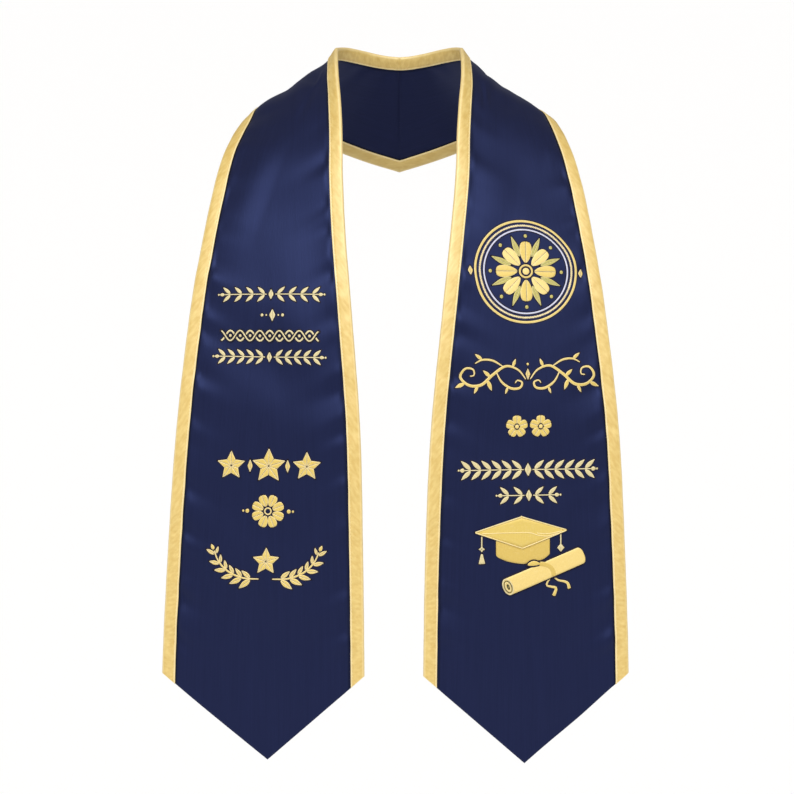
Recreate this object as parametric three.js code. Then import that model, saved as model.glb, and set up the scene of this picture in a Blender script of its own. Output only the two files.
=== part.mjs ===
// Graduation stole in its worn form: two bands of satin that meet in a seam behind the neck,
// pass over the shoulders and hang down the front to a point, each bound along both long
// edges with a folded gold ribbon. Millimetres, +Z up, +X to the right as seen from the front,
// the wearer faces -Y. The origin is on the underside of the cloth, in the middle of the
// back seam, where the stole sits on the nape.

import * as THREE from "three";

// Cloth
const panelWall = 1.6; // two layers of satin with interfacing between them
const ribbonWall = 1.0; // one thickness of the doubled ribbon
const ribbonWidth = 10.2; // how far the ribbon reaches onto each face of the band
const clearance = 0.3; // air between pieces that touch

// Widths of one band, over the ribbons
const hemWidth = 166;
const shoulderWidth = 91;
const seamLength = 104; // the mitred seam behind the neck

// Worn form
const frontDrop = 564; // neck edge on the shoulder down to the points
const pointHeight = 72; // how far the longer point reaches below the hem's corners
const chestReach = 161; // shoulder ridge forward to the hanging part
const neckHalfWidth = 51; // middle of the neck to the neck edge on the shoulder
const neckBehind = 48; // shoulder ridge back to the seam's upper end
const napeFall = 10.5; // how much lower the seam's upper end is than the neck edge
const seamLean = 20; // degrees between the back seam and the vertical

// Mesh spacing
const hangingStep = 17; // between rows on the hanging part
const shoulderStep = 8.5; // between rows over the shoulder and the back
const shoulderStart = 0.56; // share of the band's length where the closer rows begin
const hemBlend = 2.8; // point heights over which the slanted hem rows turn level
const halfColumns = 4; // spans of satin from each ribbon to the line of the point

// Sections of the front, from the points up to the shoulder ridge. Each is one line across
// the band. drop is a share of frontDrop, reach of chestReach, out of neckHalfWidth;
// flare is 0 at shoulderWidth and 1 at hemWidth; turn is how far the outer edge is turned
// back and tilt how far it is lowered, in degrees; crown is the bulge and hollow the dip
// beside the neck edge, as shares of the section's own width.
const frontSections = [
  { drop: 1.0, reach: 1.0, turn: 9, tilt: 0.5, crown: 0.012, hollow: 0 },
  { drop: 0.873, reach: 1.0, turn: 9, tilt: 0.5, crown: 0.014, hollow: 0 },
  { drop: 0.697, reach: 0.992, turn: 9.3, tilt: 0.5, crown: 0.018, hollow: 0 },
  { drop: 0.52, reach: 0.952, turn: 10.4, tilt: 0.6, crown: 0.022, hollow: 0 },
  { drop: 0.347, reach: 0.831, turn: 12.3, tilt: 1.2, crown: 0.024, hollow: 0 },
  { drop: 0.248, reach: 0.702, turn: 12.6, tilt: 5.5, crown: 0.022, hollow: 0.004 },
  { drop: 0.168, reach: 0.57, turn: 12.8, tilt: 10, crown: 0.016, hollow: 0.012 },
  { drop: 0.107, reach: 0.441, turn: 13, tilt: 15.2, crown: 0.01, hollow: 0.022 },
  { drop: 0.065, reach: 0.328, turn: 12.8, tilt: 21.2, crown: 0.005, hollow: 0.034 },
  { drop: 0.034, reach: 0.222, turn: 11.6, tilt: 28.2, crown: 0, hollow: 0.044 },
  { drop: 0.014, reach: 0.135, turn: 9, tilt: 33.6, crown: 0, hollow: 0.05 },
  { drop: 0, reach: 0, turn: 3, tilt: 38.6, crown: 0, hollow: 0.052 },
];

// The two sides hang a little differently: out and flare of each front section, in order.
const leftHang = [
  { out: 0.55, flare: 0.985 },
  { out: 0.556, flare: 0.98 },
  { out: 0.577, flare: 0.9 },
  { out: 0.621, flare: 0.78 },
  { out: 0.763, flare: 0.54 },
  { out: 0.855, flare: 0.37 },
  { out: 0.899, flare: 0.25 },
  { out: 0.913, flare: 0.17 },
  { out: 0.942, flare: 0.09 },
  { out: 0.98, flare: 0.045 },
  { out: 0.997, flare: 0.025 },
  { out: 1.0, flare: 0.01 },
];
const rightHang = [
  { out: 0.366, flare: 1.02 },
  { out: 0.378, flare: 1.015 },
  { out: 0.41, flare: 0.95 },
  { out: 0.498, flare: 0.825 },
  { out: 0.688, flare: 0.555 },
  { out: 0.806, flare: 0.375 },
  { out: 0.89, flare: 0.23 },
  { out: 0.92, flare: 0.135 },
  { out: 0.956, flare: 0.055 },
  { out: 0.995, flare: 0.008 },
  { out: 1.0, flare: 0.0 },
  { out: 0.985, flare: 0.0 },
];

// Sections of the back, from behind the shoulder ridge to the seam. round is how far the
// neck edge has gone round the neck, in degrees; fall is a share of napeFall; widen is 0 at
// shoulderWidth and 1 at seamLength; the other columns are as above.
const backSections = [
  { round: 14, fall: 0, widen: -0.1, turn: 4.4, tilt: 40, hollow: 0.05 },
  { round: 32, fall: 0.08, widen: -0.1, turn: 10.3, tilt: 44.2, hollow: 0.042 },
  { round: 50, fall: 0.35, widen: -0.05, turn: 20.8, tilt: 50.6, hollow: 0.032 },
  { round: 67, fall: 0.7, widen: 0.15, turn: 36.8, tilt: 59.6, hollow: 0.022 },
  { round: 80, fall: 0.92, widen: 0.5, turn: 61, tilt: 67.3, hollow: 0.014 },
  { round: 90, fall: 1, widen: 1, turn: 90, tilt: 90 - seamLean, hollow: 0.01 },
];

// Soft folds in the satin. along is a share of the band's length from the points, across is
// 0 at the neck edge and 1 at the outer edge, slant is in degrees from the band's length
// towards the outer edge; long and wide are half sizes and high the height (negative for a
// valley), as shares of hemWidth.
const leftFolds = [
  { along: 0.8, across: 0.24, slant: 32, long: 0.24, wide: 0.05, high: -0.013 },
  { along: 0.775, across: 0.42, slant: 22, long: 0.3, wide: 0.08, high: 0.012 },
  { along: 0.66, across: 0.7, slant: -14, long: 0.4, wide: 0.12, high: 0.01 },
  { along: 0.47, across: 0.3, slant: 10, long: 0.7, wide: 0.16, high: 0.009 },
  { along: 0.3, across: 0.68, slant: -8, long: 0.8, wide: 0.2, high: -0.008 },
  { along: 0.13, across: 0.36, slant: 6, long: 0.6, wide: 0.2, high: 0.007 },
];
const rightFolds = [
  { along: 0.8, across: 0.3, slant: 26, long: 0.26, wide: 0.05, high: 0.014 },
  { along: 0.78, across: 0.5, slant: 30, long: 0.28, wide: 0.06, high: -0.011 },
  { along: 0.64, across: 0.28, slant: 12, long: 0.4, wide: 0.12, high: 0.01 },
  { along: 0.46, across: 0.66, slant: -10, long: 0.7, wide: 0.17, high: 0.009 },
  { along: 0.3, across: 0.3, slant: 6, long: 0.8, wide: 0.2, high: -0.008 },
  { along: 0.12, across: 0.62, slant: -6, long: 0.6, wide: 0.2, high: 0.007 },
];

// point is the height of each side's point, as a share of pointHeight, and pointAcross its
// place across the band.
const sides = {
  left: { sign: -1, hang: leftHang, folds: leftFolds, point: 0.955, pointAcross: 0.477 },
  right: { sign: 1, hang: rightHang, folds: rightFolds, point: 1, pointAcross: 0.493 },
};

const radians = THREE.MathUtils.degToRad;
const mix = THREE.MathUtils.lerp;

// Unit direction from the neck edge to the outer edge of a section.
function acrossDirection(sign, turn, tilt) {
  const level = Math.cos(radians(tilt));
  return new THREE.Vector3(
    sign * level * Math.cos(radians(turn)),
    level * Math.sin(radians(turn)),
    -Math.sin(radians(tilt)),
  );
}

// One section: its two edge points, and its bulge and hollow in millimetres.
function section(side, inner, width, row) {
  const reachAcross = acrossDirection(side.sign, row.turn, row.tilt).multiplyScalar(width);
  inner.x = side.sign * (clearance / 2 + inner.x);
  return {
    inner,
    outer: inner.clone().add(reachAcross),
    crown: (row.crown ?? 0) * width,
    hollow: row.hollow * width,
  };
}

// All sections of one band, with the length of cloth up to each. The seam's upper end is
// at y = 0 and z = 0 here; the whole stole is moved onto its origin at the end.
function bandSections(side) {
  const front = frontSections.map((row, i) => {
    const inner = new THREE.Vector3(
      neckHalfWidth * side.hang[i].out,
      -neckBehind - chestReach * row.reach,
      napeFall - frontDrop * row.drop,
    );
    const width = mix(shoulderWidth, hemWidth, side.hang[i].flare);
    return section(side, inner, width, row);
  });
  const back = backSections.map((row) => {
    const inner = new THREE.Vector3(
      neckHalfWidth * Math.cos(radians(row.round)),
      -neckBehind * (1 - Math.sin(radians(row.round))),
      napeFall * (1 - row.fall),
    );
    const width = mix(shoulderWidth, seamLength, row.widen);
    return section(side, inner, width, row);
  });
  const all = [...front, ...back];
  all.forEach((s) => (s.middle = s.inner.clone().lerp(s.outer, 0.5)));
  all[0].along = 0;
  for (let i = 1; i < all.length; i++) {
    all[i].along = all[i - 1].along + all[i].middle.distanceTo(all[i - 1].middle);
  }
  return all;
}

// Smooth value of one column of the sections at a length along the band.
function smoothAt(sections, column, along) {
  const last = sections.length - 1;
  let i = 0;
  while (i < last - 1 && sections[i + 1].along < along) i++;
  const valueOf = (k) => column(sections[THREE.MathUtils.clamp(k, 0, last)]);
  const placeOf = (k) => sections[THREE.MathUtils.clamp(k, 0, last)].along;
  const slopeAt = (k) => {
    const [a, b] = [Math.max(k - 1, 0), Math.min(k + 1, last)];
    return (valueOf(b) - valueOf(a)) / (placeOf(b) - placeOf(a));
  };
  const run = placeOf(i + 1) - placeOf(i);
  const u = (along - placeOf(i)) / run;
  const [u2, u3] = [u * u, u * u * u];
  return (
    (2 * u3 - 3 * u2 + 1) * valueOf(i) +
    (u3 - 2 * u2 + u) * run * slopeAt(i) +
    (3 * u2 - 2 * u3) * valueOf(i + 1) +
    (u3 - u2) * run * slopeAt(i + 1)
  );
}

function smoothPoint(sections, edge, along) {
  return new THREE.Vector3(
    ...["x", "y", "z"].map((axis) => smoothAt(sections, (s) => s[edge][axis], along)),
  );
}

// A bump that is 1 in the middle and runs out smoothly at 1.
function softBump(distance) {
  return distance < 1 ? (1 - distance * distance) ** 2 : 0;
}

// One band of cloth as a surface: length along it and a share across it give a point.
class Band {
  constructor(side) {
    this.side = side;
    this.sections = bandSections(side);
    this.length = this.sections.at(-1).along;
  }

  edges(along) {
    const inner = smoothPoint(this.sections, "inner", along);
    const outer = smoothPoint(this.sections, "outer", along);
    return { inner, outer, width: inner.distanceTo(outer) };
  }

  // Height of the folds, in millimetres, at a place on the flat band.
  foldHeight(along, fromInner, width) {
    let height = 0;
    for (const fold of this.side.folds) {
      const ahead = along - fold.along * this.length;
      const aside = fromInner - fold.across * width;
      const [c, s] = [Math.cos(radians(fold.slant)), Math.sin(radians(fold.slant))];
      const [lengthwise, crosswise] = [ahead * c + aside * s, aside * c - ahead * s];
      height +=
        fold.high *
        hemWidth *
        softBump(Math.abs(lengthwise) / (fold.long * hemWidth)) *
        softBump(Math.abs(crosswise) / (fold.wide * hemWidth));
    }
    return height;
  }

  point(along, share) {
    const { inner, outer, width } = this.edges(along);
    const ahead = this.edges(along + 1);
    const behind = this.edges(along - 1);
    const lengthwise = ahead.inner
      .add(ahead.outer)
      .sub(behind.inner)
      .sub(behind.outer);
    const across = outer.clone().sub(inner);
    const outward = across.cross(lengthwise).normalize().multiplyScalar(this.side.sign);
    const crown = smoothAt(this.sections, (s) => s.crown, along);
    const hollow = smoothAt(this.sections, (s) => s.hollow, along);
    const deepest = 0.25 * 0.75 ** 3; // value of share * (1 - share)^3 where it is largest
    const height =
      crown * 4 * share * (1 - share) -
      (hollow * share * (1 - share) ** 3) / deepest +
      this.foldHeight(along, share * width, width);
    return inner.lerp(outer, share).addScaledVector(outward, height);
  }

  // Outward direction of the cloth. On the back seam it stays in the seam's plane, and is
  // as long as the mitre needs.
  outward(along, share) {
    const step = 0.5;
    const onSeam = along > this.length - step;
    const foot = onSeam ? this.length - step : along;
    const lengthwise = this.point(foot + step, share).sub(this.point(foot - step, share));
    const low = Math.max(share - 0.01, 0);
    const high = Math.min(share + 0.01, 1);
    const across = this.point(foot, high).sub(this.point(foot, low));
    const outward = across.cross(lengthwise).normalize().multiplyScalar(this.side.sign);
    if (!onSeam) return outward;
    outward.x = 0;
    return outward.divideScalar(outward.lengthSq());
  }

  // Length along the band at which the hem crosses it: level with the hem's corners at both
  // edges, and lowest at the point.
  hem(share) {
    const { point, pointAcross } = this.side;
    const fromPoint = share < pointAcross ? share / pointAcross : (1 - share) / (1 - pointAcross);
    return pointHeight * (1 - point * fromPoint);
  }

  // Lengths of the rows, before the lowest ones are slanted to follow the hem.
  rows() {
    const change = shoulderStart * this.length;
    const below = Math.round(change / hangingStep);
    const above = Math.round((this.length - change) / shoulderStep);
    const rows = [];
    for (let i = 0; i < below; i++) rows.push((change * i) / below);
    for (let i = 0; i <= above; i++) rows.push(mix(change, this.length, i / above));
    return rows;
  }

  // A point of a wall: row, distance from the band's neck edge (from its outer edge when
  // fromOuter), and height over the middle of the cloth.
  wallPoint(row, distance, fromOuter, height) {
    const blend = hemBlend * pointHeight;
    const width = this.edges(row).width;
    const share = fromOuter ? 1 - distance / width : distance / width;
    const along = row + this.hem(share) * Math.max(0, 1 - row / blend);
    const at = this.point(along, share);
    return at.addScaledVector(this.outward(along, share), height);
  }
}

// A closed body through a row of like sections. cap lists a section's triangles.
function loft(rings, cap, turned) {
  const count = rings[0].length;
  const faces = [];
  for (let i = 0; i + 1 < rings.length; i++) {
    for (let j = 0; j < count; j++) {
      const [a, b] = [i * count + j, i * count + ((j + 1) % count)];
      faces.push([a, b, a + count], [b, b + count, a + count]);
    }
  }
  const end = (rings.length - 1) * count;
  for (const [a, b, c] of cap) {
    faces.push([c, b, a], [end + a, end + b, end + c]);
  }
  const geometry = new THREE.BufferGeometry().setFromPoints(rings.flat());
  geometry.setIndex(faces.flatMap(([a, b, c]) => (turned ? [a, c, b] : [a, b, c])));
  geometry.computeVertexNormals();
  return geometry;
}

// The satin: an even wall from just inside one ribbon's fold to just inside the other's.
function panelGeometry(band) {
  const inset = ribbonWall + clearance;
  const rings = band.rows().map((row) => {
    const width = band.edges(row).width;
    const middle = band.side.pointAcross * width;
    const places = [inset];
    for (let i = 0; i < halfColumns; i++) {
      places.push(mix(ribbonWidth, middle, i / halfColumns));
    }
    for (let i = 0; i <= halfColumns; i++) {
      places.push(mix(middle, width - ribbonWidth, i / halfColumns));
    }
    places.push(width - inset);
    const face = (height) => places.map((d) => band.wallPoint(row, d, false, height));
    return [...face(-panelWall / 2), ...face(panelWall / 2).reverse()];
  });
  const across = 2 * halfColumns + 2;
  const cap = [];
  for (let i = 0; i < across; i++) {
    const opposite = 2 * across + 1 - i;
    cap.push([i, i + 1, opposite], [i + 1, opposite - 1, opposite]);
  }
  return loft(rings, cap, band.side.sign > 0);
}

// The ribbon: folded round the band's edge, so that its section is a U.
function ribbonGeometry(band, fromOuter) {
  const hold = panelWall / 2 + clearance;
  const outside = hold + ribbonWall;
  const profile = [
    [0, -outside],
    [ribbonWidth, -outside],
    [ribbonWidth, -hold],
    [ribbonWall, -hold],
    [ribbonWall, hold],
    [ribbonWidth, hold],
    [ribbonWidth, outside],
    [0, outside],
  ];
  const cap = [
    [0, 1, 2],
    [0, 2, 3],
    [0, 3, 4],
    [0, 4, 7],
    [7, 4, 5],
    [7, 5, 6],
  ];
  const rings = band
    .rows()
    .map((row) => profile.map(([d, height]) => band.wallPoint(row, d, fromOuter, height)));
  return loft(rings, cap, band.side.sign > 0 !== fromOuter);
}

const satin = { color: 0x262b4b, roughness: 0.55, metalness: 0 };
const ribbon = { color: 0xefd083, roughness: 0.5, metalness: 0 };

function piece(name, geometry, look) {
  const mesh = new THREE.Mesh(geometry, new THREE.MeshStandardMaterial(look));
  mesh.name = name;
  return mesh;
}

const worn = new THREE.Group();
for (const [name, side] of Object.entries(sides)) {
  const band = new Band(side);
  worn.add(piece(`${name}_panel`, panelGeometry(band), satin));
  worn.add(piece(`${name}_inner_trim`, ribbonGeometry(band, false), ribbon));
  worn.add(piece(`${name}_outer_trim`, ribbonGeometry(band, true), ribbon));
}

// The underside of the cloth in the middle of the back seam goes to the origin.
const seamBand = new Band(sides.right);
const nape = seamBand.wallPoint(seamBand.length, seamLength / 2, false, -panelWall / 2);
worn.position.set(0, -nape.y, -nape.z);

const stole = new THREE.Group();
stole.name = "graduation_stole";
stole.add(worn);

export default stole;
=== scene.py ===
"""Graduation stole in its worn form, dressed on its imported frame.

Two bands of navy satin meet in a seam behind the neck, pass over the shoulders and hang down
the front to a point. Each is bound along both long edges with a folded gold ribbon and
embroidered in gold thread. The bands are worked out from the same sizes as the frame's
solids, and everything else is laid on them. Sizes are in millimetres, and become metres when
a mesh is made.
"""

import math
from collections import namedtuple

import bmesh
import bpy
import numpy as np
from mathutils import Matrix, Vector


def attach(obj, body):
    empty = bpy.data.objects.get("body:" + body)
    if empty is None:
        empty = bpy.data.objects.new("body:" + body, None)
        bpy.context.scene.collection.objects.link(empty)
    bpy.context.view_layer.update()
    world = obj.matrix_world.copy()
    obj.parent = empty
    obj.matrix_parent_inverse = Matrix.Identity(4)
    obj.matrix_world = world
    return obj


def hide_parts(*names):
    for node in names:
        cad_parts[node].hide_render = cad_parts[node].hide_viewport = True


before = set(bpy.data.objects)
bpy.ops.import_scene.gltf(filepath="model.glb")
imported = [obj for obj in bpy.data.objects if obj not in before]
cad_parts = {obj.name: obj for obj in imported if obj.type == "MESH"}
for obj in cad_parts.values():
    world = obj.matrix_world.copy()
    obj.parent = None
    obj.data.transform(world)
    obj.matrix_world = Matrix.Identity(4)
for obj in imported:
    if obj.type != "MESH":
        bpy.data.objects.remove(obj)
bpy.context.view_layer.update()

MM = 0.001

# Sizes of the bands.

PANEL_WALL = 1.6  # two layers of satin with interfacing between them
RIBBON_WIDTH = 10.2  # how far the ribbon reaches onto each face of the band
RIBBON_INSIDE = 1.1  # the ribbon's inner face over the middle of the cloth
CLEARANCE = 0.3  # air between the two bands at the back seam
HEM_WIDTH = 166
SHOULDER_WIDTH = 91
SEAM_LENGTH = 104
FRONT_DROP = 564
POINT_HEIGHT = 72
CHEST_REACH = 161
NECK_HALF_WIDTH = 51
NECK_BEHIND = 48
NAPE_FALL = 10.5
SEAM_LEAN = 20
HEM_BLEND = 2.8 * POINT_HEIGHT  # length over which the slanted hem rows turn level

# Sections of the front, from the points up to the shoulder ridge. drop is a share of
# FRONT_DROP and reach of CHEST_REACH; turn is how far the outer edge is turned back and tilt
# how far it is lowered, in degrees; crown is the bulge and hollow the dip beside the neck
# edge, as shares of the section's width.
FRONT = {
    "drop": (1, 0.873, 0.697, 0.52, 0.347, 0.248, 0.168, 0.107, 0.065, 0.034, 0.014, 0),
    "reach": (1, 1, 0.992, 0.952, 0.831, 0.702, 0.57, 0.441, 0.328, 0.222, 0.135, 0),
    "turn": (9, 9, 9.3, 10.4, 12.3, 12.6, 12.8, 13, 12.8, 11.6, 9, 3),
    "tilt": (0.5, 0.5, 0.5, 0.6, 1.2, 5.5, 10, 15.2, 21.2, 28.2, 33.6, 38.6),
    "crown": (0.012, 0.014, 0.018, 0.022, 0.024, 0.022, 0.016, 0.01, 0.005, 0, 0, 0),
    "hollow": (0, 0, 0, 0, 0, 0.004, 0.012, 0.022, 0.034, 0.044, 0.05, 0.052),
}

# Sections of the back, up to the seam. round is how far the neck edge has gone round the
# neck, in degrees; fall is a share of NAPE_FALL; widen is 0 at SHOULDER_WIDTH and 1 at
# SEAM_LENGTH.
BACK = {
    "round": (14, 32, 50, 67, 80, 90),
    "fall": (0, 0.08, 0.35, 0.7, 0.92, 1),
    "widen": (-0.1, -0.1, -0.05, 0.15, 0.5, 1),
    "turn": (4.4, 10.3, 20.8, 36.8, 61, 90),
    "tilt": (40, 44.2, 50.6, 59.6, 67.3, 90 - SEAM_LEAN),
    "crown": (0, 0, 0, 0, 0, 0),
    "hollow": (0.05, 0.042, 0.032, 0.022, 0.014, 0.01),
}

# A soft fold. along is a share of the band's length from the points, across is 0 at the neck
# edge and 1 at the outer edge, slant is in degrees from the band's length towards the outer
# edge; long and wide are half sizes and high the height, as shares of HEM_WIDTH.
Fold = namedtuple("Fold", "along across slant long wide high")

# The two sides hang a little differently. out is a share of NECK_HALF_WIDTH and flare is 0 at
# SHOULDER_WIDTH and 1 at HEM_WIDTH, for each front section; point is the height of the
# point as a share of POINT_HEIGHT and point_across its place across the band. The starts of
# the puckers and of the ribbon's waves are in turns, beside the neck edge and the outer edge.
# The first six folds are the frame's, some of them a little softer. The narrow ones after them
# are creases in the satin, and the ones near 0.83 of the length shape the shoulder's outline.
LEFT = {
    "sign": -1,
    "out": (0.55, 0.556, 0.577, 0.621, 0.763, 0.855, 0.899, 0.913, 0.942, 0.98, 0.997, 1),
    "flare": (0.985, 0.98, 0.9, 0.78, 0.54, 0.37, 0.25, 0.17, 0.09, 0.045, 0.025, 0.01),
    "point": 0.955,
    "point_across": 0.477,
    "pucker_starts": (-0.13, 0.41),
    "ribbon_starts": (-0.2, 0.17),
    "folds": (
        Fold(0.8, 0.24, 32, 0.24, 0.05, -0.01),
        Fold(0.775, 0.42, 22, 0.3, 0.08, 0.006),
        Fold(0.66, 0.7, -14, 0.4, 0.12, 0.01),
        Fold(0.47, 0.3, 10, 0.7, 0.16, 0.009),
        Fold(0.3, 0.68, -8, 0.8, 0.2, -0.008),
        Fold(0.13, 0.36, 6, 0.6, 0.2, 0.007),
        Fold(0.803, 0.22, -35, 0.085, 0.02, 0.0032),
        Fold(0.77, 0.33, -22, 0.14, 0.035, -0.003),
        Fold(0.83, 0.8, 0, 0.22, 0.125, 0.0145),
        Fold(0.838, 0.37, 0, 0.22, 0.115, 0.0125),
        Fold(0.832, 0.6, 0, 0.2, 0.35, 0.003),
    ),
}
RIGHT = {
    "sign": 1,
    "out": (0.366, 0.378, 0.41, 0.498, 0.688, 0.806, 0.89, 0.92, 0.956, 0.995, 1, 0.985),
    "flare": (1.02, 1.015, 0.95, 0.825, 0.555, 0.375, 0.23, 0.135, 0.055, 0.008, 0, 0),
    "point": 1,
    "point_across": 0.493,
    "pucker_starts": (0.47, 0.81),
    "ribbon_starts": (0.2, 0.57),
    "folds": (
        Fold(0.8, 0.3, 26, 0.26, 0.05, 0.012),
        Fold(0.78, 0.5, 30, 0.28, 0.06, -0.007),
        Fold(0.64, 0.28, 12, 0.4, 0.12, 0.007),
        Fold(0.46, 0.66, -10, 0.7, 0.17, 0.009),
        Fold(0.3, 0.3, 6, 0.8, 0.2, -0.008),
        Fold(0.12, 0.62, -6, 0.6, 0.2, 0.007),
        Fold(0.782, 0.222, -6, 0.11, 0.024, -0.0038),
        Fold(0.775, 0.268, -8, 0.11, 0.024, 0.0024),
        Fold(0.72, 0.8, 16, 0.16, 0.04, 0.0035),
        Fold(0.832, 0.43, 0, 0.2, 0.085, -0.0095),
        Fold(0.83, 0.57, 0, 0.2, 0.075, -0.0042),
        Fold(0.838, 0.21, 0, 0.2, 0.07, 0.0072),
        Fold(0.822, 0.79, 0, 0.2, 0.08, 0.0045),
    ),
}

# Small unevenness of the cloth.

# Sewing draws the satin into shallow puckers beside each ribbon. Each wave has its length
# along the band, its height beside the ribbon and its start, in turns.
Wave = namedtuple("Wave", "length high start")
PUCKERS = (Wave(31, 1.9, 0.1), Wave(47, 1.3, 0.45), Wave(18, 0.55, 0.8))
PUCKER_START = (0.8, 5.0)  # where a pucker begins beside the ribbon, and is fully there
PUCKER_REACH = 12  # how far into the satin a pucker runs out
PUCKER_SLANT = 0.45  # how far a pucker leans along the band for each millimetre inwards
UNDER_RIBBON = 0.12  # share of a pucker's height that is left under the ribbon
PUCKER_PATCH = 190  # length over which puckers grow weak and strong again
WEAKEST_PUCKER = 0.5  # share of their height where they are weakest
SHOULDER_START = (0.58, 0.76)  # shares of the length between which puckers fade
OVER_SHOULDER = 0.24  # share of their height that is left over the shoulder

# The middle of the cloth hangs in long, very shallow waves.
SWELLS = (Wave(118, 0.9, 0.3), Wave(71, 0.5, 0.7))
SWELL_SLANT = 0.5


def mix(a, b, share):
    return a + (b - a) * share


def ramped(value, start, end):
    """0 up to the start, 1 from the end on, and even between them."""
    return np.clip((value - start) / (end - start), 0, 1)


def unit(vectors):
    return vectors / np.linalg.norm(vectors, axis=-1, keepdims=True)


def lengths_along(path):
    """Length from the first point of a path to each of its points."""
    steps = np.linalg.norm(np.diff(path, axis=0), axis=1)
    return np.concatenate([[0], np.cumsum(steps)])


def soft_bump(distance):
    """1 in the middle, running out smoothly at a distance of 1."""
    return np.clip(1 - distance**2, 0, None) ** 2


def waves_at(waves, along, start=0):
    """Height of several waves together, at a length along the band."""
    turns = [along / wave.length + wave.start + start for wave in waves]
    return sum(wave.high * np.sin(2 * np.pi * turn) for wave, turn in zip(waves, turns))


ON_SEAM = 0.01  # rows this near to the end of a band lie on the back seam


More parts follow.
